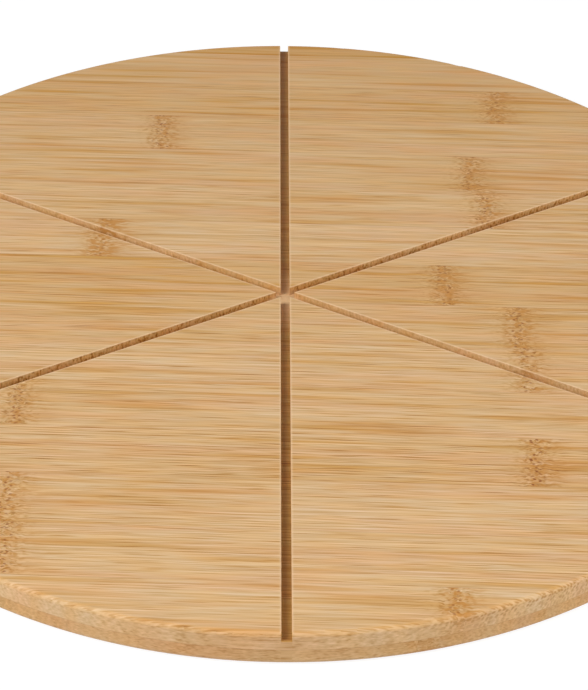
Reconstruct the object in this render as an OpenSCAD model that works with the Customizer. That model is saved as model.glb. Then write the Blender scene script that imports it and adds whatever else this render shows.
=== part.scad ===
// Round pizza serving board, glued up from bamboo staves in two plies.
// The plies run the same way and their glue lines are staggered by half a stave.
// Straight grooves across the top face guide the cutter and mark out equal slices.
// Millimetres, +Z up. The origin is the centre of the underside.

/* [Board] */
// Diameter of the board
board_d = 320; // [240:1:420]
// Thickness of the top ply
top_ply_t = 6; // [4.5:0.1:10]
// Thickness of the bottom ply
bottom_ply_t = 6; // [4.5:0.1:10]
// Rounding of the rim's top edge
top_round = 1.5; // [0.5:0.1:3]
// Rounding of the rim's bottom edge
bottom_round = 2.5; // [0.5:0.1:4]

/* [Staves] */
// Number of staves across a ply
staves = 15; // [9:1:25]
// Part of a stave that is cut away, both sides together, when a ply is cut round
cut_away_share = 0.7; // [0.6:0.05:1]
// Place of the top ply's middle behind the board's centre, in staves
offset_share = 0.28; // [0.15:0.01:0.35]
// Shift of the bottom ply's glue lines from the top ply's, in staves
stagger_share = 0.5; // [0.3:0.05:0.6]
// Turn of the staves from the left-right line, against the clock seen from above
grain_turn = -2.2; // [-15:0.1:15]

/* [Grooves] */
// Number of slices that the grooves mark out
slices = 6; // [4:2:12]
// Width of a groove
groove_w = 2.9; // [2:0.1:5]
// Depth of a groove
groove_depth = 3; // [1:0.1:4]
// Rounding of a groove's two upper edges
groove_lip = 0.15; // [0.1:0.05:1]

/* [Hidden] */
$fn = 180;
// How far a cutting shape runs past what it cuts
overrun = 2;
board_r = board_d / 2;
board_t = bottom_ply_t + top_ply_t;
// Width of one stave: whole staves span the board and what is cut away
stave_w = board_d / (staves - cut_away_share);
top_middle = offset_share * stave_w;
bottom_middle = top_middle - stagger_share * stave_w;

top_shades = ["#DDB680", "#D6AD76", "#E0BB88", "#D9B17B"];
bottom_shades = ["#CFA57A", "#C79C70", "#D3AB82"];

// Place of the glue line in front of stave i, across the grain. Staves are numbered
// from 0 at the front of the board, and the two at the rim run past it.
function glue_line(ply_middle, i) =
    i == 0 ? -board_r - overrun
    : i == staves ? board_r + overrun
    : ply_middle + (i - staves / 2) * stave_w;

function stave_name(ply, i) = str(ply, "_stave_", i < 9 ? "0" : "", i + 1);
TOP_STAVES = [for (i = [0 : staves - 1]) stave_name("top", i)];
BOTTOM_STAVES = [for (i = [0 : staves - 1]) stave_name("bottom", i)];

// Half section of one ply, with its rim rounded at the upper edge
module ply_section(ply_t, edge_round) {
    difference() {
        square([board_r, ply_t]);
        translate([board_r - edge_round, ply_t - edge_round])
            difference() {
                square(edge_round + overrun);
                circle(edge_round);
            }
    }
}

// One ply as a disc that stands on its glued face
module ply_disc(ply_t, edge_round) {
    rotate_extrude()
        ply_section(ply_t, edge_round);
}

// The strip of a ply that one stave takes up, overlong and overhigh
module stave_strip(ply_middle, i) {
    front = glue_line(ply_middle, i);
    back = glue_line(ply_middle, i + 1);
    rotate([0, 0, grain_turn])
        translate([-board_r - overrun, front, -overrun])
            cube([board_d + 2 * overrun, back - front, board_t + 2 * overrun]);
}

// Cross-section of a groove, drawn about its axis with its mouth at height zero
module groove_section() {
    translate([-groove_w / 2, -groove_depth])
        square([groove_w, groove_depth + overrun]);
    difference() {
        translate([-groove_w / 2 - groove_lip, -groove_lip])
            square([groove_w + 2 * groove_lip, groove_lip + overrun]);
        for (side = [-1, 1])
            translate([side * (groove_w / 2 + groove_lip), -groove_lip])
                circle(groove_lip);
    }
}

// All grooves, each from rim to rim through the centre
module grooves() {
    for (i = [0 : slices / 2 - 1])
        rotate([90, 0, i * 360 / slices])
            linear_extrude(board_d + 2 * overrun, center = true)
                groove_section();
}

// A stave of the serving face, crossed by the grooves
module top_stave(i) {
    color(top_shades[i % len(top_shades)])
        difference() {
            intersection() {
                translate([0, 0, bottom_ply_t])
                    ply_disc(top_ply_t, top_round);
                stave_strip(top_middle, i);
            }
            translate([0, 0, board_t])
                grooves();
        }
}

// A stave of the underside, with its rim rounded towards the table
module bottom_stave(i) {
    color(bottom_shades[i % len(bottom_shades)])
        intersection() {
            translate([0, 0, bottom_ply_t])
                mirror([0, 0, 1])
                    ply_disc(bottom_ply_t, bottom_round);
            stave_strip(bottom_middle, i);
        }
}

for (i = [0 : staves - 1])
    top_stave(i);
for (i = [0 : staves - 1])
    bottom_stave(i);
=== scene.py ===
import math
from types import SimpleNamespace

import bmesh
import bpy
from mathutils import Matrix, Vector


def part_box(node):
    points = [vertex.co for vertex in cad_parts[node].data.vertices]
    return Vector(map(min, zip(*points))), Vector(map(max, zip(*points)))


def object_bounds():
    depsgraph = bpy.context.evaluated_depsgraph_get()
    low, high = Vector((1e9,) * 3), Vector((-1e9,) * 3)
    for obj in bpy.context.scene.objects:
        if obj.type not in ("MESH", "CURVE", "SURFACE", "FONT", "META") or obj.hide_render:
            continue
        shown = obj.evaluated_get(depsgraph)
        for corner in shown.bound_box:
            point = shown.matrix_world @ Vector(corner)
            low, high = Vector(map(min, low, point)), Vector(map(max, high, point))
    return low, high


# A round pizza serving board, glued up from bamboo staves in two plies.
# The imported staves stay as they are. This script gives them their bamboo, and sets
# the floor, the lamps and the camera, whose sizes are in metres. All sizes and places
# on the board and in its pattern are in mm.

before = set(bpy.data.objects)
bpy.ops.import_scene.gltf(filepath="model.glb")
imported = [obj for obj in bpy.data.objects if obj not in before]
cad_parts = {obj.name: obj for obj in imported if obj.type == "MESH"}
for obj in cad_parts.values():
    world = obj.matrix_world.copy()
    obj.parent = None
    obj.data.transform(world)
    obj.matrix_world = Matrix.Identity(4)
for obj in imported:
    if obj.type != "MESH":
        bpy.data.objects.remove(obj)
cad_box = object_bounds()

MM = 0.001

# Sizes of the board, from the frame
BOARD_R = (cad_box[1][0] - cad_box[0][0]) / 2 / MM
BOARD_T = cad_box[1][2] / MM
PLY_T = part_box("bottom_stave_08")[1].z / MM
STAVES = sum(name.startswith("top_stave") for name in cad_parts)

# The layout of the staves, as in the part's source
CUT_AWAY_SHARE = 0.7
OFFSET_SHARE = 0.28
STAGGER_SHARE = 0.5
GRAIN_TURN = math.radians(-2.2)
STAVE_W = 2 * BOARD_R / (STAVES - CUT_AWAY_SHARE)
TOP_MIDDLE = OFFSET_SHARE * STAVE_W
BOTTOM_MIDDLE = TOP_MIDDLE - STAGGER_SHARE * STAVE_W

# The grooves, as in the part's source
SLICES = 6
GROOVE_W = 2.9
GROOVE_DEPTH = 3.0
GROOVE_LIP = 0.15

# Where each stave's knuckle lies along the grain, to the right of the middle. In this
# table and the next ones the staves are counted from the front.
TOP_KNUCKLES = (
    52, -75, -77, 77, -79, 76, 74, 51, -62, 66, 61, -47, 71, -96, 70,
)
BOTTOM_KNUCKLES = (
    43, -118, 64, -20, 92, -64, 8, -105, 50, 112, -38, 84, -88, 26, -54,
)

# How golden each stave is
TOP_GOLD_SHARES = (
    0.1, 0.1, 0, 0.5, 0.3, 0.1, 0.6, 1.1, 0, 0.4, 0.6, 0.6, 1.2, 0.8, 2,
)
BOTTOM_GOLD_SHARES = (
    0.5, 0.8, 0.8, 0.5, 0.2, 0.7, 0.4, 0.9, 0.5, 0.3, 0.8, 0.4, 0.6, 0.9, 0.5,
)

# How strongly each stave is streaked
TOP_STREAK_SHARES = (
    0.92, 1.05, 1, 1.4, 1, 1, 1, 0.93, 0.8, 0.92, 0.7, 0.7, 0.75, 0.37, 0.5,
)
BOTTOM_STREAK_SHARES = (
    0.7, 0.8, 0.7, 1, 0.8, 0.9, 1, 0.8, 0.9, 0.8, 1, 0.9, 0.8, 0.7, 0.7,
)

# How dark the spots of each stave's knuckle are
TOP_SPOT_SHARES = (
    0.6, 0.9, 0.8, 1.1, 0.8, 0.7, 0.9, 0.8, 0.5, 0.9, 0.6, 0.9, 0.6, 0.6, 0.5,
)
BOTTOM_SPOT_SHARES = (
    0.6, 0.8, 0.5, 1, 0.7, 0.4, 0.9, 0.6, 0.3, 0.8, 0.5, 0.9, 0.4, 0.7, 0.6,
)

# How brown the patches of each stave's knuckle are
TOP_STAIN_SHARES = (
    1, 0.7, 0.75, 0.9, 0.7, 0.75, 1, 1, 1.8, 0.95, 0.85, 0.95, 1, 1, 1,
)
BOTTOM_STAIN_SHARES = (
    1.5, 0.8, 1, 0.7, 1.2, 1, 0.8, 0.6, 1.1, 0.9, 1, 0.7, 1.2, 0.9, 1,
)

# How clearly the bundles of fibre show in each ply
TOP_BUNDLES_SHARE = 1.0
BOTTOM_BUNDLES_SHARE = 0.6

# Bamboo's own colours, and one of painted light, as red, green and blue from 0 to 255
PALE_FIBRE = (234, 199, 158)
TAN_FIBRE = (217, 179, 130)
BROWN_FIBRE = (189, 142, 80)
DARK_FIBRE = (148, 97, 38)
BUNDLE_END = (180, 130, 70)
PALE_PITH = (226, 191, 138)
KNUCKLE_STAIN = (190, 130, 56)
KNUCKLE_SPOT = (128, 62, 2)
# Painted light: the grooves' floors turn this pale where they cross, where more light reaches
# them.
PAINTED_CROSSING_LIGHT = (222, 183, 137)
GLUE_BROWN = (160, 108, 58)

# The colour of each tone between the bundles
FIBRE_TONES = (
    (0.0, DARK_FIBRE),
    (0.34, BROWN_FIBRE),
    (0.62, TAN_FIBRE),
    (0.95, PALE_FIBRE),
)

# Faint tints that multiply the colour
NO_TINT = (255, 255, 255)
ORANGE_TINT = (255, 250, 238)
OLIVE_TINT = (249, 252, 255)
PINK_TINT = (255, 247, 247)
GOLDEN_TINT = (247, 239, 221)
LOWER_PLY_TINT = (247, 241, 233)
SKIN_TINT = (250, 238, 208)
# Painted shade: this yellower tint stands in for the warm shade on the grooves' floors.
FLOOR_SHADE_TINT = (231, 221, 169)
# Painted shade: this faint tint stands in for the warm shade on the grooves' walls.
WALL_SHADE_TINT = (254, 251, 238)
# The last groove's walls take this browner tint.
LAST_GROOVE_WALL_TINT = (245, 231, 196)

# A mix node has several sockets of the same name. These are the ones for colours.
MIX_A, MIX_B, MIX_RESULT = 6, 7, 2


def linear(colour):
    """A colour from 0 to 255 as the shader's linear red, green, blue and alpha."""
    channels = [c / 255 for c in colour]
    return tuple(
        c / 12.92 if c <= 0.04045 else ((c + 0.055) / 1.055) ** 2.4 for c in channels
    ) + (1.0,)


class Shader:
    """Adds nodes to a tree and joins them, so that a pattern reads as a formula."""

    def __init__(self, tree):
        self.tree = tree

    def node(self, kind, inputs=None, **settings):
        made = self.tree.nodes.new(kind)
        for name, value in settings.items():
            setattr(made, name, value)
        for name, value in (inputs or {}).items():
            self.feed(made.inputs[name], value)
        return made

    def feed(self, socket, value):
        if isinstance(value, bpy.types.NodeSocket):
            self.tree.links.new(value, socket)
        else:
            socket.default_value = value

    def math(self, operation, *values):
        made = self.node("ShaderNodeMath", operation=operation)
        for socket, value in zip(made.inputs, values):
            self.feed(socket, value)
        return made.outputs[0]

    def add(self, a, b):
        return self.math("ADD", a, b)

    def subtract(self, a, b):
        return self.math("SUBTRACT", a, b)

    def times(self, a, b):
        return self.math("MULTIPLY", a, b)

    def divide(self, a, b):
        return self.math("DIVIDE", a, b)

    def most(self, a, b):
        return self.math("MAXIMUM", a, b)

    def least(self, a, b):
        return self.math("MINIMUM", a, b)

    def unsigned(self, a):
        return self.math("ABSOLUTE", a)

    def below(self, a, limit):
        return self.math("LESS_THAN", a, limit)

    def above(self, a, limit):
        return self.math("GREATER_THAN", a, limit)

    def but_for(self, share, part=1.0):
        """What is left of 1 where a part is taken away by a share."""
        return self.subtract(1.0, self.times(share, part))

    def dot(self, vector, other):
        made = self.node(
            "ShaderNodeVectorMath", {0: vector, 1: other}, operation="DOT_PRODUCT"
        )
        return made.outputs["Value"]

    def hump(self, distance, reach):
        """1 at distance zero, falling smoothly to nothing over about twice the reach."""
        share = self.divide(distance, reach)
        return self.math("EXPONENT", self.times(self.times(share, share), -1.0))

    def rise(self, value, start, end):
        """A smooth step from 0 at the start to 1 at the end, whichever is greater."""
        made = self.node(
            "ShaderNodeMapRange",
            {"Value": value, "From Min": start, "From Max": end},
            interpolation_type="SMOOTHSTEP",
        )
        return made.outputs["Result"]

    def point(self, x, y, z=0.0):
        return self.node("ShaderNodeCombineXYZ", {"X": x, "Y": y, "Z": z}).outputs[0]

    def noise(self, x, y, z=0.0):
        """Noise from 0 to 1 about a half, one wave per unit of each coordinate."""
        made = self.node(
            "ShaderNodeTexNoise",
            {"Vector": self.point(x, y, z), "Scale": 1.0, "Detail": 1.0},
        )
        return made.outputs["Fac"]

    def patches(self, place, sizes, layer=0.0):
        """Noise from 0 to 1 over a place in mm, in patches of these sizes in mm. Each
        layer has other patches."""
        steps = [self.divide(mm, size) for mm, size in zip(place, sizes)]
        if len(steps) < 3:
            steps.append(layer)
        elif layer:
            steps[2] = self.add(steps[2], layer)
        return self.noise(*steps)

    def about_zero(self, noise):
        """Noise from 0 to 1 moved down to swing about zero."""
        return self.subtract(noise, 0.5)

    def waves(self, place, sizes, layer=0.0):
        """The same patches about zero."""
        return self.about_zero(self.patches(place, sizes, layer))

    def cells(self, x, y, randomness):
        """Scattered points: the distance to the nearest, and a number that it has of its
        own, from 0 to 1."""
        made = self.node(
            "ShaderNodeTexVoronoi",
            {"Vector": self.point(x, y), "Scale": 1.0, "Randomness": randomness},
            voronoi_dimensions="2D",
        )
        own = self.node("ShaderNodeSeparateColor", {"Color": made.outputs["Color"]})
        return made.outputs["Distance"], own.outputs[0]

    def mix(self, share, a, b, blend="MIX"):
        """From colour a at share 0 to colour b at share 1, and on past both."""
        made = self.node(
            "ShaderNodeMix", data_type="RGBA", blend_type=blend, clamp_factor=False
        )
        self.feed(made.inputs["Factor"], share)
        for place, colour in ((MIX_A, a), (MIX_B, b)):
            if isinstance(colour, tuple):
                colour = linear(colour)
            self.feed(made.inputs[place], colour)
        return made.outputs[MIX_RESULT]

    def tinted(self, colour, tint):
        return self.mix(1.0, colour, tint, "MULTIPLY")

    def ramp(self, value, stops):
        made = self.node("ShaderNodeValToRGB", {"Fac": value})
        elements = made.color_ramp.elements
        while len(elements) < len(stops):
            elements.new(0.5)
        for element, (place, colour) in zip(elements, stops):
            element.position = place
            element.color = linear(colour)
        return made.outputs["Color"]


# What counts as part of a groove reaches a little past its walls and its floor.
PAST_WALL = 0.1
PAST_FLOOR = 0.05
GROOVE_REACH = GROOVE_W / 2 + PAST_WALL
GROOVE_BOTTOM = BOARD_T - GROOVE_DEPTH - PAST_FLOOR
GROOVE_TOP = BOARD_T - GROOVE_LIP

# A face whose normal rises less than this is a side face. One whose normal lies along
# the grain by these shares is taken as cut a little, and as cut right across.
SIDE_LIMIT = 0.6
CUT_LIMITS = (0.02, 0.35)

# How far apart the stems of two staves lie in the pattern
STEM_STEP_ALONG = 213.0
STEM_STEP_ACROSS = 61.7

# The line of a knuckle: the range of its slant over the stave, and the length and the
# range of each way in which it wavers. The starts are places in the noise.
KNUCKLE_SLANT = 12.0
KNUCKLE_WAVERS = ((4.0, 5.0), (1.2, 2.4))
SLANT_START = 7.3
WAVER_STARTS = (3.1, 5.7)

# How the fibres stray sideways: waves of a size along the grain and across it, and a
# range. They fray and frizz in a zone about the knuckle. The middle of such a zone lies
# to the right of the knuckle's line, and its reach goes both ways from there.
WANDER = (130.0, 16.0)
WANDER_RANGE = 1.1
FRAY = (5.0, 3.0)
FRAY_RANGE = 3.2
FRAY_ZONE = (0.0, 8.0)
FRIZZ = (1.8, 1.1)
FRIZZ_RANGE = 2.2
FRIZZ_ZONE = (0.0, 4.0)


def object_place(s):
    return s.node("ShaderNodeTexCoord").outputs["Object"]


def surface_normal(s):
    return s.node("ShaderNodeNewGeometry").outputs["Normal"]


def grain_coordinates(s):
    """Millimetres along the grain, across it and up, from the centre of the underside."""
    turned = s.node(
        "ShaderNodeMapping",
        {
            "Vector": object_place(s),
            "Rotation": (0.0, 0.0, -GRAIN_TURN),
            "Scale": (1 / MM, 1 / MM, 1 / MM),
        },
    )
    split = s.node("ShaderNodeSeparateXYZ", {"Vector": turned.outputs[0]})
    return split.outputs[0], split.outputs[1], split.outputs[2]


def end_grain(s):
    """How squarely the surface cuts the fibres: 0 along them, 1 straight across."""
    grain = (math.cos(GRAIN_TURN), math.sin(GRAIN_TURN), 0.0)
    return s.unsigned(s.dot(surface_normal(s), grain))


def side_face(s):
    """1 on the rim and the walls of the grooves, 0 on the flat faces."""
    split = s.node("ShaderNodeSeparateXYZ", {"Vector": surface_normal(s)})
    return s.below(s.unsigned(split.outputs[2]), SIDE_LIMIT)


def groove_distances(s):
    """Millimetres from each groove's axis, starting with the one from front to back."""
    distances = []
    for i in range(SLICES // 2):
        turn = 2 * math.pi * i / SLICES
        square_to_it = (math.cos(turn) / MM, math.sin(turn) / MM, 0.0)
        distances.append(s.unsigned(s.dot(object_place(s), square_to_it)))
    return distances


def centre_distance(s):
    """Millimetres from the centre of the underside."""
    made = s.node("ShaderNodeVectorMath", {0: object_place(s)}, operation="LENGTH")
    return s.divide(made.outputs["Value"], MM)


def knuckle_distance(s, given, at):
    """Millimetres to the right of the stave's knuckle, which slants and wavers."""
    slant = s.about_zero(s.noise(given["Seed"], SLANT_START))
    slant = s.times(slant, KNUCKLE_SLANT)
    line = s.add(given["Knuckle"], s.times(s.subtract(at.across, 0.5), slant))
    for (length, reach), start in zip(KNUCKLE_WAVERS, WAVER_STARTS):
        waver = s.about_zero(s.noise(s.divide(at.sv, length), start))
        line = s.add(line, s.times(waver, reach))
    return s.subtract(at.u, line)


def near_knuckle(s, at, zone):
    """1 in the middle of a zone at the knuckle, falling to nothing outside it."""
    middle, reach = zone
    return s.hump(s.subtract(at.from_knuckle, middle), reach)


def fibre_place(s, at):
    """The place across the fibres, which wander a little and fray at the knuckle."""
    wander = s.times(s.waves(at.stem, WANDER), WANDER_RANGE)
    fray = s.times(s.waves(at.stem, FRAY), FRAY_RANGE)
    fray = s.times(fray, near_knuckle(s, at, FRAY_ZONE))
    frizz = s.times(s.waves(at.stem, FRIZZ), FRIZZ_RANGE)
    frizz = s.times(frizz, near_knuckle(s, at, FRIZZ_ZONE))
    return s.add(s.add(at.sv, wander), s.add(fray, frizz))


def place_on_stave(s, given):
    """Where a point lies on its stave, as sockets, in mm or as shares from 0 to 1.

    u, v and w run along the grain, across it and up. su and sv are the same along and
    across in the stave's own stem, and fv follows the fibres as they wander. stem and
    fibre hold three of them each, as the place of a pattern. across runs from 0 to 1
    over the stave's width, and depth goes down from its skin. groove is the distance
    from the nearest groove's axis. side, cut_share and the names with in or on say how
    much the point lies on a face of that kind.
    """
    at = SimpleNamespace()
    at.u, at.v, at.w = grain_coordinates(s)
    at.depth = s.unsigned(s.subtract(at.w, given["Skin height"]))
    at.across = s.divide(s.subtract(at.v, given["Front line"]), STAVE_W)

    # Every stave comes from another stem, so its pattern starts elsewhere.
    at.su = s.add(at.u, s.times(given["Seed"], STEM_STEP_ALONG))
    at.sv = s.add(at.v, s.times(given["Seed"], STEM_STEP_ACROSS))
    at.stem = (at.su, at.sv, at.depth)
    at.from_knuckle = knuckle_distance(s, given, at)
    at.fv = fibre_place(s, at)
    at.fibre = (at.su, at.fv, at.depth)

    at.cut_across = end_grain(s)
    at.cut_share = s.rise(at.cut_across, *CUT_LIMITS)
    at.side = side_face(s)
    grooves = groove_distances(s)
    at.groove = grooves[0]
    for other in grooves[1:]:
        at.groove = s.least(at.groove, other)
    at.in_groove = s.below(at.groove, GROOVE_REACH)
    at.on_wall = s.times(at.in_groove, at.cut_share)
    at.on_burnt_wall = s.times(s.below(grooves[-1], GROOVE_REACH), at.cut_share)
    at.on_rim = s.times(at.side, s.but_for(at.in_groove))
    return at


# The bundles of fibre. Downwards their rows lie CROWDED_DEPTH / CROWDED_ROWS apart at
# the skin and further apart below, and dip in waves by a part of a row. Each row starts
# half a bundle on from the last.
BUNDLE_SPACING = 0.56
CROWDED_DEPTH = 5.0
CROWDED_ROWS = 4.8
ROW_SHIFT = 0.5
BUNDLE_DIPS = (34.0, 1.8, 3.0)
DIP_RANGE = 0.8
BUNDLE_SCATTER = 0.6

# The distances from its middle, in bundles, between which a bundle comes out, and the
# numbers of its own between which a bundle gets stronger
BUNDLE_EDGE = (0.48, 0.2)
BUNDLE_NUMBERS = (-0.1, 0.4)

# How clearly bundles show under the skin, and the depths between which that goes. How
# clearly they show deeper down, how much more beyond the knuckle, the places to the
# right of its line between which that comes, and the part of all this that is lost down
# to the middle of the board
SKIN_BUNDLES = 0.9
SKIN_BUNDLES_GO = (1.5, 0.3)
DEEPER_BUNDLES = 0.35
BEYOND_KNUCKLE = 0.85
BEYOND_KNUCKLE_COMES = (-18.0, 6.0)
LOST_DOWNWARDS = 0.6


def fibre_bundles(s, at):
    """Bundles of fibre: dashes along them, dots across them. They crowd under the skin,
    and deeper down they stand out only beyond the knuckle."""
    dip = s.times(s.waves(at.stem, BUNDLE_DIPS), DIP_RANGE)
    crowding = s.add(1.0, s.divide(at.depth, CROWDED_DEPTH))
    rows = s.add(s.times(s.math("LOGARITHM", crowding, math.e), CROWDED_ROWS), dip)
    columns = s.add(s.divide(at.fv, BUNDLE_SPACING), s.times(rows, ROW_SHIFT))
    distance, own = s.cells(columns, rows, BUNDLE_SCATTER)
    bundle = s.times(s.rise(distance, *BUNDLE_EDGE), s.rise(own, *BUNDLE_NUMBERS))
    beyond = s.rise(at.from_knuckle, *BEYOND_KNUCKLE_COMES)
    deeper = s.add(DEEPER_BUNDLES, s.times(beyond, BEYOND_KNUCKLE))
    deeper = s.times(deeper, s.but_for(at.depth, LOST_DOWNWARDS / PLY_T))
    under_skin = s.times(s.rise(at.depth, *SKIN_BUNDLES_GO), SKIN_BUNDLES)
    return s.times(bundle, s.most(deeper, under_skin))


# The bamboo between the bundles: the sizes of its parts along the grain, across it and
# down, and how much each part changes the tone, which runs from 0 to 1
FINE_FIBRES = (20.0, 0.38, 0.8)
FINE_FIBRES_SHARE = 0.9
WIDER_FIBRES = (50.0, 0.8, 1.2)
WIDER_FIBRES_SHARE = 0.3
NARROW_BANDS = (80.0, 1.8, 2.5)
NARROW_BANDS_SHARE = 0.08
BROAD_BANDS = (110.0, 3.6, 3.0)
BROAD_BANDS_SHARE = 0.06
DARK_DASHES = (20.0, 0.36, 0.7)
DARK_DASHES_SHARE = 0.24
THREADS = (60.0, 1.3, 2.0)
THREADS_SHARE = 0.18
KNUCKLE_MARKS = (2.0, 0.5, 0.5)
KNUCKLE_MARKS_SHARE = 0.45
MEAN_TONE = 0.66

# How much of the next fibre's tone is taken from a fibre's own, how far apart two rows
# lie in the noise, and how far across the rows of the dashes start
BESIDE_SHARE = 0.6
ROW_STEP = 7.31
DASH_ROWS_START = 50.0

# The levels of the noise between which dashes, stretches of a thread and marks come
# out. A thread is where its noise is nearly zero.
DASH_LEVELS = (0.57, 0.74)
THREAD_REACH = 0.02
THREAD_STRETCHES = (15.0, 2.2)
STRETCH_LAYER = 6.0
STRETCH_LEVELS = (0.38, 0.66)
MARK_LEVELS = (0.45, 0.66)
MARK_ZONE = (0.0, 6.0)

# Streaks are a little calmer in a zone about the knuckle, and fainter and paler where
# the bamboo is cut across.
CALM_ZONE = (0.0, 5.0)
CALM_SHARE = 0.2
CUT_FAINTER = 0.5
CUT_PALER = 0.04


def fibre_row(s, fv, width, side):
    """The number of the row of fibres, spread so that each row has its own noise. On a
    side face the rows run into each other, so that no row shows its edge."""
    place = s.divide(fv, width)
    row = s.times(s.math("FLOOR", place), ROW_STEP)
    return s.add(row, s.times(s.subtract(place, row), side))


def fibres(s, at, sizes):
    """Straight fibres side by side, each unlike the next and fading along its length."""
    length, width, thickness = sizes
    along = s.divide(at.su, length)
    down = s.divide(at.depth, thickness)
    own = s.noise(along, fibre_row(s, at.fv, width, at.side), down)
    beside = s.noise(along, fibre_row(s, s.add(at.fv, width), width, at.side), down)
    return s.subtract(s.about_zero(own), s.times(s.about_zero(beside), BESIDE_SHARE))


def dark_dashes(s, at):
    """Dark dashes, each along one row of fibres."""
    length, width, thickness = DARK_DASHES
    row = fibre_row(s, s.add(at.fv, DASH_ROWS_START), width, at.side)
    dash = s.noise(s.divide(at.su, length), row, s.divide(at.depth, thickness))
    return s.rise(dash, *DASH_LEVELS)


def threads(s, at):
    """Thin dark threads on the flat faces, which come and go along their length."""
    thread = s.hump(s.waves(at.fibre, THREADS), THREAD_REACH)
    stretch = s.patches(at.fibre, THREAD_STRETCHES, STRETCH_LAYER)
    strength = s.times(s.rise(stretch, *STRETCH_LEVELS), s.but_for(at.side))
    return s.times(thread, strength)


def knuckle_marks(s, at):
    """Short dark marks at the knuckle."""
    mark = s.rise(s.patches(at.fibre, KNUCKLE_MARKS), *MARK_LEVELS)
    return s.times(mark, near_knuckle(s, at, MARK_ZONE))


def fibre_tone(s, given, at):
    """How pale the bamboo is between its bundles, and its fine fibres alone."""
    hair = s.times(fibres(s, at, FINE_FIBRES), FINE_FIBRES_SHARE)
    tone = s.add(hair, s.times(fibres(s, at, WIDER_FIBRES), WIDER_FIBRES_SHARE))
    tone = s.add(tone, s.times(s.waves(at.fibre, NARROW_BANDS), NARROW_BANDS_SHARE))
    tone = s.add(tone, s.times(s.waves(at.fibre, BROAD_BANDS), BROAD_BANDS_SHARE))
    tone = s.subtract(tone, s.times(dark_dashes(s, at), DARK_DASHES_SHARE))
    tone = s.subtract(tone, s.times(threads(s, at), THREADS_SHARE))
    calm = s.but_for(near_knuckle(s, at, CALM_ZONE), CALM_SHARE)
    tone = s.times(s.times(tone, given["Streaks"]), calm)
    tone = s.subtract(tone, s.times(knuckle_marks(s, at), KNUCKLE_MARKS_SHARE))
    tone = s.times(tone, s.but_for(at.cut_share, CUT_FAINTER))
    tone = s.add(tone, s.times(at.cut_share, CUT_PALER))
    return s.add(tone, MEAN_TONE), hair


# The specks on the rim: their size, how much they change the tone where there are no
# bundles, and how much less where the bundles show fully
RIM_SPECKS = (1.6, 0.5, 0.4)
SPECKS_SHARE = 1.2
SPECKS_LESS = 0.7

# The cutter's marks on the walls of the grooves: their size, how much they change the
# tone, and how much more on the last groove's walls. Then the painted light and shade
# down the walls: how much paler a wall is painted, how much less on the last groove's,
# and how much darker painted shade makes it with each mm down
CUTTER_MARKS = (0.7, 0.7, 1.6)
MARKS_SHARE = 0.9
LAST_GROOVE_MARKS_SHARE = 1.6
WALL_PAINTED_PALER = 0.14
LAST_GROOVE_LESS_PALE = 0.04
PAINTED_SHADE_DOWN = 0.06


def rim_specks(s, given, at):
    """The fine specks of fibre ends and vessels that a cut through the bamboo shows. They
    stand out more where there are fewer bundles."""
    strength = s.subtract(SPECKS_SHARE, s.times(given["Bundles"], SPECKS_LESS))
    specks = s.times(s.waves(at.fibre, RIM_SPECKS), strength)
    return s.times(specks, at.on_rim)


def wall_marks_and_shade(s, at):
    """The fine upright marks that the cutter leaves on the walls of the grooves, stronger
    on the last groove's walls, with painted light at the top of each wall and painted
    shade that darkens it downwards."""
    strength = s.add(MARKS_SHARE, s.times(at.on_burnt_wall, LAST_GROOVE_MARKS_SHARE))
    marks_and_shade = s.times(s.waves((at.u, at.v, at.w), CUTTER_MARKS), strength)
    # Painted light at the top of each wall, and painted shade that darkens it downwards.
    painted_paler = s.subtract(WALL_PAINTED_PALER, s.times(at.on_burnt_wall, LAST_GROOVE_LESS_PALE))
    marks_and_shade = s.subtract(s.add(marks_and_shade, painted_paler), s.times(at.depth, PAINTED_SHADE_DOWN))
    return s.times(marks_and_shade, at.on_wall)


# Tints that follow the fibres or the stem: the size of their patches along the grain
# and across it, their layer of the noise, and the levels between which they come out
WARM_STREAKS = (16.0, 3.0)
WARM_LAYER = 4.0
WARM_LEVELS = (0.25, 0.75)
PINK_PATCHES = (60.0, 6.0)
PINK_LAYER = 9.0
PINK_LEVELS = (0.4, 0.7)
GOLD_VEINS = (70.0, 2.6)
VEINS_LAYER = 5.0
VEINS_LEVELS = (0.5, 0.72)
GOLD_STREAKS = (80.0, 6.0)
GOLD_STREAKS_LAYER = 8.0
GOLD_PATCHES = (240.0, 12.0)

# The mean of the veins, which is taken from them first, how much veins, streaks and
# patches change the gold, how much of it is lost on side faces, and what comes on top
# of the stave's own gold
VEINS_MEAN = 0.25
VEINS_SHARE = 1.8
GOLD_STREAKS_SHARE = 1.3
GOLD_PATCHES_SHARE = 0.8
GOLD_LOST_ON_SIDES = 0.7
MORE_GOLD = 0.05

# The depths between which the ply's tint comes, and the gold of the skin comes and goes,
# and how strong that gold is between the bundles and how much more in them
PLY_TINT_COMES = (1.0, 5.0)
SKIN_GOLD_COMES = (0.0, 0.15)
SKIN_GOLD_GOES = (2.2, 0.6)
SKIN_GOLD_SHARE = 0.2
BUNDLE_GOLD_SHARE = 0.8

# How brown the bundles are at the skin, how much more below, between which depths that
# comes, and how much of the brown is lost on the walls of the grooves
BUNDLE_BROWN = 0.25
DEEPER_BROWN = 0.5
DEEPER_BROWN_COMES = (0.05, 0.6)
BROWN_LOST_ON_WALLS = 0.7

# Between these places along the grain, the last groove's walls lose a part of their
# browner tint.
BROWNER_TINT_FADES = (-30.0, 30.0)
BROWNER_TINT_LOST = 0.3


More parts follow.
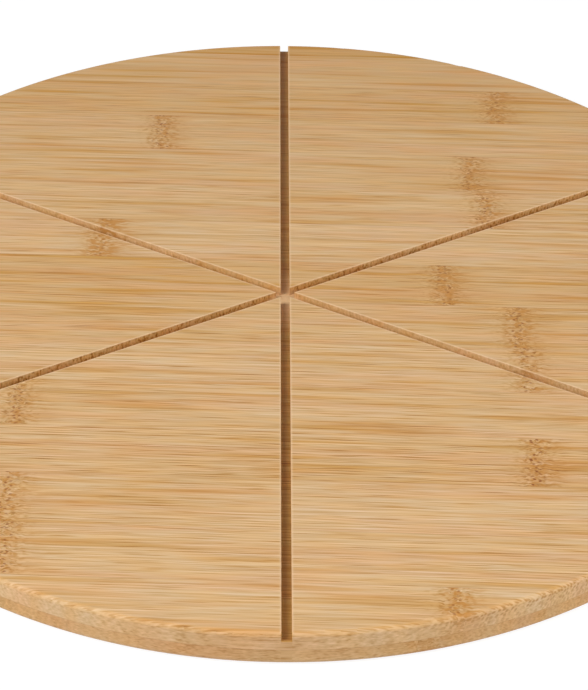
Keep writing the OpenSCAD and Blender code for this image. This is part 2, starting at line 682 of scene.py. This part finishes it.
def tint_fibres(s, colour, given, at):
    """Some streaks lean to orange and some to olive, and broad ones to pink or gold. They
    are as thick as the ply, so on a side face they are faint."""
    warm = s.rise(s.patches(at.fibre, WARM_STREAKS, WARM_LAYER), *WARM_LEVELS)
    colour = s.tinted(colour, s.mix(warm, OLIVE_TINT, ORANGE_TINT))
    pink = s.rise(s.patches(at.stem, PINK_PATCHES, PINK_LAYER), *PINK_LEVELS)
    colour = s.tinted(colour, s.mix(pink, NO_TINT, PINK_TINT))
    veins = s.rise(s.patches(at.fibre, GOLD_VEINS, VEINS_LAYER), *VEINS_LEVELS)
    gold = s.times(s.subtract(veins, VEINS_MEAN), VEINS_SHARE)
    streaks = s.waves(at.fibre, GOLD_STREAKS, GOLD_STREAKS_LAYER)
    gold = s.add(gold, s.times(streaks, GOLD_STREAKS_SHARE))
    gold = s.add(gold, s.times(s.waves(at.stem, GOLD_PATCHES), GOLD_PATCHES_SHARE))
    gold = s.times(gold, s.but_for(at.side, GOLD_LOST_ON_SIDES))
    gold = s.add(gold, s.add(given["Gold"], MORE_GOLD))
    return s.mix(gold, colour, s.tinted(colour, GOLDEN_TINT))


def tint_ply(s, colour, given, at):
    """The ply's own tint, which shows away from the skin."""
    tint = s.mix(s.rise(at.depth, *PLY_TINT_COMES), NO_TINT, given["Ply tint"])
    return s.tinted(colour, tint)


def gild_skin(s, colour, at, bundle):
    """Just under its skin the bamboo is more golden, most of all in its bundles."""
    under = s.rise(at.depth, *SKIN_GOLD_COMES)
    under = s.times(under, s.rise(at.depth, *SKIN_GOLD_GOES))
    gold = s.add(SKIN_GOLD_SHARE, s.times(bundle, BUNDLE_GOLD_SHARE))
    under = s.times(under, gold)
    under = s.times(under, s.but_for(at.in_groove))
    return s.tinted(colour, s.mix(under, NO_TINT, SKIN_TINT))


def brown_bundles(s, colour, given, at, bundle):
    """The bundles are browner, but less so right at the skin and on the grooves' walls."""
    share = s.times(bundle, given["Bundles"])
    share = s.times(share, s.but_for(at.on_wall, BROWN_LOST_ON_WALLS))
    deeper = s.times(s.rise(at.depth, *DEEPER_BROWN_COMES), DEEPER_BROWN)
    return s.mix(s.times(share, s.add(BUNDLE_BROWN, deeper)), colour, BUNDLE_END)


def tint_groove_walls(s, colour, at):
    """Painted warm shade makes the walls of the grooves a little yellower. The last groove's
    walls take a browner tint instead, more so at the left."""
    fading = s.rise(at.u, *BROWNER_TINT_FADES)
    burnt = s.times(at.on_burnt_wall, s.but_for(fading, BROWNER_TINT_LOST))
    tint = s.mix(burnt, WALL_SHADE_TINT, LAST_GROOVE_WALL_TINT)
    return s.mix(at.on_wall, colour, s.tinted(colour, tint))


# The knuckle's pale side: the size of its marks, its zone and its strength
PALE_MARKS = (4.0, 1.4, 2.0)
PALE_ZONE = (-5.0, 3.5)
PALE_SHARE = 0.2

# The knuckle's warm patches and the tails that run on from them: their sizes, the
# levels of the noise between which they come out, their zones and their strengths
STAIN_PATCHES = (2.8, 1.3, 2.0)
PATCH_LEVELS = (0.42, 0.64)
PATCH_ZONE = (0.5, 4.4)
PATCH_SHARE = 0.75
STAIN_TAILS = (7.0, 1.1, 2.0)
TAIL_LAYER = 2.0
TAIL_LEVELS = (0.42, 0.7)
TAIL_ZONE = (6.0, 6.0)
TAIL_SHARE = 0.4

# The faint warmth all about them, the most that all of it can come to, and the part of
# it that goes between two depths
WARMTH_ZONE = (0.0, 11.0)
WARMTH_SHARE = 0.06
MOST_STAIN = 0.85
STAINS_GO = (0.5, 4.0)
STAINS_LOST = 0.6

# The knuckle's spots: their spacing along the grain and across it, how scattered they
# are, the distances from its middle between which a spot comes out, the numbers of its
# own between which a spot gets stronger, their zone, the depths between which they go,
# and how dark they are
SPOT_SPACING = (1.9, 1.7)
SPOT_SCATTER = 0.8
SPOT_EDGE = (0.32, 0.14)
SPOT_NUMBERS = (0.1, 0.6)
SPOT_ZONE = (0.0, 2.4)
SPOTS_GO = (0.3, 0.9)
SPOT_SHARE = 0.85


def stain_knuckle(s, colour, given, at):
    """The knuckle's pale side and its warm patches."""
    pale = s.times(s.patches(at.fibre, PALE_MARKS), near_knuckle(s, at, PALE_ZONE))
    colour = s.mix(s.times(pale, PALE_SHARE), colour, PALE_PITH)
    patch = s.rise(s.patches(at.fibre, STAIN_PATCHES), *PATCH_LEVELS)
    patch = s.times(patch, near_knuckle(s, at, PATCH_ZONE))
    tail = s.rise(s.patches(at.fibre, STAIN_TAILS, TAIL_LAYER), *TAIL_LEVELS)
    tail = s.times(tail, near_knuckle(s, at, TAIL_ZONE))
    stain = s.add(s.times(patch, PATCH_SHARE), s.times(tail, TAIL_SHARE))
    stain = s.add(stain, s.times(near_knuckle(s, at, WARMTH_ZONE), WARMTH_SHARE))
    stain = s.least(s.times(stain, given["Stains"]), MOST_STAIN)
    stain = s.times(stain, s.but_for(s.rise(at.depth, *STAINS_GO), STAINS_LOST))
    return s.mix(stain, colour, KNUCKLE_STAIN)


def knuckle_spots(s, given, at):
    """The ends of the dark vessels at the knuckle, which show on the skin only."""
    length, width = SPOT_SPACING
    columns = s.divide(at.from_knuckle, length)
    distance, own = s.cells(columns, s.divide(at.sv, width), SPOT_SCATTER)
    spot = s.times(s.rise(distance, *SPOT_EDGE), near_knuckle(s, at, SPOT_ZONE))
    spot = s.times(spot, s.rise(own, *SPOT_NUMBERS))
    spot = s.times(spot, s.but_for(s.rise(at.depth, *SPOTS_GO)))
    return s.times(spot, given["Spots"])


# Half the widths of the glue lines between staves and between plies
STAVE_GLUE_HALF_W = 0.14
PLY_GLUE_HALF_W = 0.1

# How clearly a line between staves shows at least, how much more as it comes and goes
# along its length, how much more in a zone at the knuckle, how much of it is lost where
# the bamboo is cut across, and how clearly the line between the plies shows. The start
# is a place in the noise.
LEAST_GLUE = 0.1
GLUE_STRETCH = 12.0
GLUE_START = 2.0
GLUE_RANGE = 0.35
GLUE_ZONE = (0.0, 7.0)
KNUCKLE_GLUE = 0.3
GLUE_LOST_ON_CUTS = 0.7
PLY_GLUE_SHARE = 0.25


def draw_glue_lines(s, colour, at):
    """Thin brown lines between the staves, and one between the plies."""
    edge = s.least(s.unsigned(at.across), s.unsigned(s.subtract(at.across, 1.0)))
    strength = s.noise(s.divide(at.su, GLUE_STRETCH), GLUE_START)
    strength = s.add(LEAST_GLUE, s.times(strength, GLUE_RANGE))
    at_knuckle = s.times(near_knuckle(s, at, GLUE_ZONE), KNUCKLE_GLUE)
    strength = s.add(strength, at_knuckle)
    strength = s.times(strength, s.but_for(at.cut_share, GLUE_LOST_ON_CUTS))
    beside_stave = s.below(s.times(edge, STAVE_W), STAVE_GLUE_HALF_W)
    between_staves = s.times(beside_stave, strength)
    beside_ply = s.below(s.unsigned(s.subtract(at.w, PLY_T)), PLY_GLUE_HALF_W)
    between_plies = s.times(beside_ply, PLY_GLUE_SHARE)
    return s.mix(s.most(between_staves, between_plies), colour, GLUE_BROWN)


# The painted highlight along the grooves' upper edges: how far it reaches sideways, the
# heights between which it comes, and how strong it is
EDGE_HIGHLIGHT_REACH = 0.35
EDGE_HIGHLIGHT_COMES = (BOARD_T - 0.5, BOARD_T - 0.1)
EDGE_HIGHLIGHT_SHARE = 0.5

# The crossing of the grooves, as distances from the centre of the underside. Painted
# shade tints the floors outwards from there, and painted light turns them pale inwards.
FLOOR_SHADE_COMES = (BOARD_T + 1.0, BOARD_T + 8.0)
CROSSING_LIGHT_COMES = (BOARD_T + 0.5, BOARD_T - 2.5)
CROSSING_LIGHT_SHARE = 0.85


def paint_groove_edge_highlights(s, colour, at):
    """A painted highlight makes the grooves' upper edges a little paler."""
    past_wall = s.subtract(at.groove, GROOVE_W / 2 + GROOVE_LIP)
    # Painted highlight: a pale line along the upper edges of the grooves.
    painted_light = s.times(s.hump(past_wall, EDGE_HIGHLIGHT_REACH), s.rise(at.w, *EDGE_HIGHLIGHT_COMES))
    return s.mix(s.times(painted_light, EDGE_HIGHLIGHT_SHARE), colour, PALE_FIBRE)


def paint_groove_floors(s, colour, at):
    """Painted shade makes the grooves' floors yellower. Where they cross, painted light turns
    them pale.
    """
    radius = centre_distance(s)
    inside = s.times(at.in_groove, s.below(at.w, GROOVE_TOP))
    inside = s.times(inside, s.above(at.w, GROOVE_BOTTOM))
    # Painted shade: a yellower tint on the floors, away from the crossing.
    floor_shade = s.times(inside, s.rise(radius, *FLOOR_SHADE_COMES))
    floor_shade = s.times(floor_shade, s.but_for(at.cut_share))
    colour = s.tinted(colour, s.mix(floor_shade, NO_TINT, FLOOR_SHADE_TINT))
    # Painted light: the floors turn pale where the grooves cross.
    painted_light = s.times(inside, s.rise(radius, *CROSSING_LIGHT_COMES))
    return s.mix(s.times(painted_light, CROSSING_LIGHT_SHARE), colour, PAINTED_CROSSING_LIGHT)


# The bamboo's surface: satin, rougher on pale fibres and where it is cut across
ROUGHNESS = 0.5
FIBRE_ROUGHNESS = 0.16
CUT_ROUGHNESS = 0.12
SPECULAR = 0.35

# The relief: how far the fine fibres stand up and the bundles and spots lie low, as
# parts of its height
FIBRE_RELIEF = 0.6
BUNDLE_RELIEF = 0.5
SPOT_RELIEF = 0.2
RELIEF_HEIGHT = 0.1
RELIEF_STRENGTH = 0.08


def add_sockets(tree):
    """What the pattern is told about a stave, and what it gives back."""
    stem = ("Seed", "Knuckle", "Gold", "Streaks", "Spots", "Stains")
    for name in stem + ("Front line", "Skin height", "Bundles"):
        tree.interface.new_socket(name, in_out="INPUT", socket_type="NodeSocketFloat")
    tree.interface.new_socket("Ply tint", in_out="INPUT", socket_type="NodeSocketColor")
    tree.interface.new_socket("Colour", in_out="OUTPUT", socket_type="NodeSocketColor")
    for name in ("Roughness", "Height"):
        tree.interface.new_socket(name, in_out="OUTPUT", socket_type="NodeSocketFloat")


def build_bamboo_group():
    """The pattern of one stave, shared by all staves' materials."""
    tree = bpy.data.node_groups.new("bamboo_stave", "ShaderNodeTree")
    add_sockets(tree)
    s = Shader(tree)
    given = s.node("NodeGroupInput").outputs
    at = place_on_stave(s, given)

    bundle = fibre_bundles(s, at)
    spot = knuckle_spots(s, given, at)
    tone, hair = fibre_tone(s, given, at)
    tone = s.add(tone, rim_specks(s, given, at))
    # The cutter's marks, with painted light and shade down the grooves' walls
    tone = s.add(tone, wall_marks_and_shade(s, at))

    colour = s.ramp(tone, FIBRE_TONES)
    colour = tint_fibres(s, colour, given, at)
    colour = tint_ply(s, colour, given, at)
    colour = gild_skin(s, colour, at, bundle)
    colour = brown_bundles(s, colour, given, at, bundle)
    # Painted warm shade on the grooves' walls
    colour = tint_groove_walls(s, colour, at)
    colour = stain_knuckle(s, colour, given, at)
    colour = s.mix(s.times(spot, SPOT_SHARE), colour, KNUCKLE_SPOT)
    colour = draw_glue_lines(s, colour, at)
    # Painted highlights on the grooves' upper edges
    colour = paint_groove_edge_highlights(s, colour, at)
    # Painted shade and painted light on the grooves' floors
    colour = paint_groove_floors(s, colour, at)

    roughness = s.add(ROUGHNESS, s.times(hair, FIBRE_ROUGHNESS))
    roughness = s.add(roughness, s.times(at.cut_across, CUT_ROUGHNESS))
    height = s.subtract(s.times(hair, FIBRE_RELIEF), s.times(bundle, BUNDLE_RELIEF))
    height = s.subtract(height, s.times(spot, SPOT_RELIEF))

    result = s.node("NodeGroupOutput")
    s.feed(result.inputs["Colour"], colour)
    s.feed(result.inputs["Roughness"], roughness)
    s.feed(result.inputs["Height"], height)
    return tree


def new_shader(owner):
    """An empty node tree for a material or the world."""
    owner.use_nodes = True
    owner.node_tree.nodes.clear()
    return Shader(owner.node_tree)


def bamboo_material(name, group, values):
    """The bamboo of one stave, with the values that its pattern is told."""
    material = bpy.data.materials.new(name)
    s = new_shader(material)
    pattern = s.node("ShaderNodeGroup", node_tree=group)
    for socket, value in values.items():
        pattern.inputs[socket].default_value = value
    relief = s.node(
        "ShaderNodeBump",
        {
            "Height": pattern.outputs["Height"],
            "Strength": RELIEF_STRENGTH,
            "Distance": RELIEF_HEIGHT * MM,
        },
    )
    surface = s.node(
        "ShaderNodeBsdfPrincipled",
        {
            "Base Color": pattern.outputs["Colour"],
            "Roughness": pattern.outputs["Roughness"],
            "Normal": relief.outputs["Normal"],
            "Specular IOR Level": SPECULAR,
        },
    )
    s.node("ShaderNodeOutputMaterial", {"Surface": surface.outputs["BSDF"]})
    return material


def dress_ply(group, ply, middle, staves, skin_height, bundles, tint):
    """Gives each stave of a ply bamboo from a stem of its own. The ply's skin lies at its
    outer face."""
    for i, (knuckle, gold, streaks, spots, stains) in enumerate(staves):
        name = f"{ply}_stave_{i + 1:02d}"
        seed = i + 1 + (0 if ply == "top" else STAVES)
        values = {
            "Seed": seed,
            "Knuckle": knuckle,
            "Front line": middle + (i - STAVES / 2) * STAVE_W,
            "Skin height": skin_height,
            "Gold": gold,
            "Streaks": streaks,
            "Spots": spots,
            "Stains": stains,
            "Bundles": bundles,
            "Ply tint": linear(tint),
        }
        material = bamboo_material(f"bamboo_{name}", group, values)
        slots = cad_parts[name].data.materials
        slots.clear()
        slots.append(material)


def dress_board():
    """Dresses the top ply, with its skin on the serving face, and the bottom ply, with
    its skin on the underside."""
    bamboo = build_bamboo_group()
    top_staves = zip(
        TOP_KNUCKLES,
        TOP_GOLD_SHARES,
        TOP_STREAK_SHARES,
        TOP_SPOT_SHARES,
        TOP_STAIN_SHARES,
    )
    bottom_staves = zip(
        BOTTOM_KNUCKLES,
        BOTTOM_GOLD_SHARES,
        BOTTOM_STREAK_SHARES,
        BOTTOM_SPOT_SHARES,
        BOTTOM_STAIN_SHARES,
    )
    dress_ply(
        bamboo,
        "top",
        TOP_MIDDLE,
        top_staves,
        skin_height=BOARD_T,
        bundles=TOP_BUNDLES_SHARE,
        tint=NO_TINT,
    )
    dress_ply(
        bamboo,
        "bottom",
        BOTTOM_MIDDLE,
        bottom_staves,
        skin_height=0.0,
        bundles=BOTTOM_BUNDLES_SHARE,
        tint=LOWER_PLY_TINT,
    )


# How far the floor reaches each way, its grey as the lamps meet it, its grey and its
# glow as the eye does, and the strength of the light from all round
FLOOR_REACH = 6.0
FLOOR_GREY = 0.72
SEEN_FLOOR_GREY = 0.2
SEEN_FLOOR_GLOW = 0.86
AMBIENT = 0.1


def seen_directly(s):
    """1 for rays from the camera, mirrors and glass, 0 for rays that carry light."""
    ray = s.node("ShaderNodeLightPath").outputs
    return s.most(s.most(ray["Is Camera Ray"], ray["Is Glossy Ray"]), ray["Is Transmission Ray"])


def floor_material():
    """White to the eye with a faint shadow, and plain pale to the lamps."""
    material = bpy.data.materials.new("floor_white")
    s = new_shader(material)
    grey = (FLOOR_GREY, FLOOR_GREY, FLOOR_GREY, 1)
    seen_grey = (SEEN_FLOOR_GREY, SEEN_FLOOR_GREY, SEEN_FLOOR_GREY, 1)
    lit = s.node("ShaderNodeBsdfDiffuse", {"Color": grey})
    seen_lit = s.node("ShaderNodeBsdfDiffuse", {"Color": seen_grey})
    glow = s.node("ShaderNodeEmission", {"Color": (1, 1, 1, 1), "Strength": SEEN_FLOOR_GLOW})
    bright = s.node("ShaderNodeAddShader", {0: seen_lit.outputs[0], 1: glow.outputs[0]})
    both = s.node(
        "ShaderNodeMixShader", {0: seen_directly(s), 1: lit.outputs[0], 2: bright.outputs[0]}
    )
    s.node("ShaderNodeOutputMaterial", {"Surface": both.outputs[0]})
    return material


def build_floor():
    """A level square that the underside lies on."""
    mesh = bpy.data.meshes.new("floor")
    shape = bmesh.new()
    bmesh.ops.create_grid(shape, x_segments=1, y_segments=1, size=FLOOR_REACH)
    bmesh.ops.recalc_face_normals(shape, faces=shape.faces)
    shape.to_mesh(mesh)
    shape.free()
    floor = bpy.data.objects.new("floor", mesh)
    mesh.materials.append(floor_material())
    bpy.context.scene.collection.objects.link(floor)


def build_world():
    """White to the eye, and a faint light from all round."""
    world = bpy.data.worlds.new("studio")
    s = new_shader(world)
    strength = s.add(AMBIENT, s.times(seen_directly(s), 1.0 - AMBIENT))
    sky = s.node("ShaderNodeBackground", {"Color": (1, 1, 1, 1), "Strength": strength})
    s.node("ShaderNodeOutputWorld", {"Surface": sky.outputs[0]})
    bpy.context.scene.world = world


# Each lamp's turn from the front towards the right and its height in degrees, its
# distance, its size, and its power in watts
KEY_LAMP = (-60, 40, 1.3, 0.9, 15.9)
FILL_LAMP = (66, 30, 1.0, 0.7, 6.6)

# The camera, from a fit to the photograph's rim and grooves
FOCAL_PX = 2505.4
PHOTO_H_PX = 690
SENSOR_MM = 36.0
CAMERA_HEIGHT = math.radians(36.478)
CAMERA_TURN = math.radians(-0.760)
CAMERA_ROLL = math.radians(0.7548)
CAMERA_DISTANCE = 0.80355
CAMERA_TARGET = Vector((0.00289, -0.01237, 0.0))


def direction(turn, height):
    """From the board towards a place in front of it, turned to the right and raised."""
    return Vector((
        math.sin(turn) * math.cos(height),
        -math.cos(turn) * math.cos(height),
        math.sin(height),
    ))


def add_softbox(name, turn, height, distance, size, power):
    """A square lamp that looks at the board."""
    away = direction(math.radians(turn), math.radians(height))
    lamp = bpy.data.lights.new(name, "AREA")
    lamp.shape = "SQUARE"
    lamp.size = size
    lamp.energy = power
    holder = bpy.data.objects.new(name, lamp)
    holder.location = away * distance
    holder.rotation_euler = away.to_track_quat("Z", "Y").to_euler()
    bpy.context.scene.collection.objects.link(holder)


def add_camera():
    """Looks at the board as the photograph does."""
    back = direction(CAMERA_TURN, CAMERA_HEIGHT)
    level = Vector((math.cos(CAMERA_TURN), math.sin(CAMERA_TURN), 0.0))
    upright = back.cross(level)
    right = level * math.cos(CAMERA_ROLL) + upright * math.sin(CAMERA_ROLL)
    up = upright * math.cos(CAMERA_ROLL) - level * math.sin(CAMERA_ROLL)
    lens = bpy.data.cameras.new("camera")
    lens.sensor_fit = "VERTICAL"
    lens.sensor_height = SENSOR_MM
    lens.lens = FOCAL_PX * SENSOR_MM / PHOTO_H_PX
    camera = bpy.data.objects.new("camera", lens)
    bpy.context.scene.collection.objects.link(camera)
    camera.matrix_world = Matrix.Translation(
        CAMERA_TARGET + back * CAMERA_DISTANCE
    ) @ Matrix((right, up, back)).transposed().to_4x4()
    bpy.context.scene.camera = camera


dress_board()
build_floor()
build_world()
add_softbox("key", *KEY_LAMP)
add_softbox("fill", *FILL_LAMP)
add_camera()
bpy.context.scene.view_settings.view_transform = "Standard"
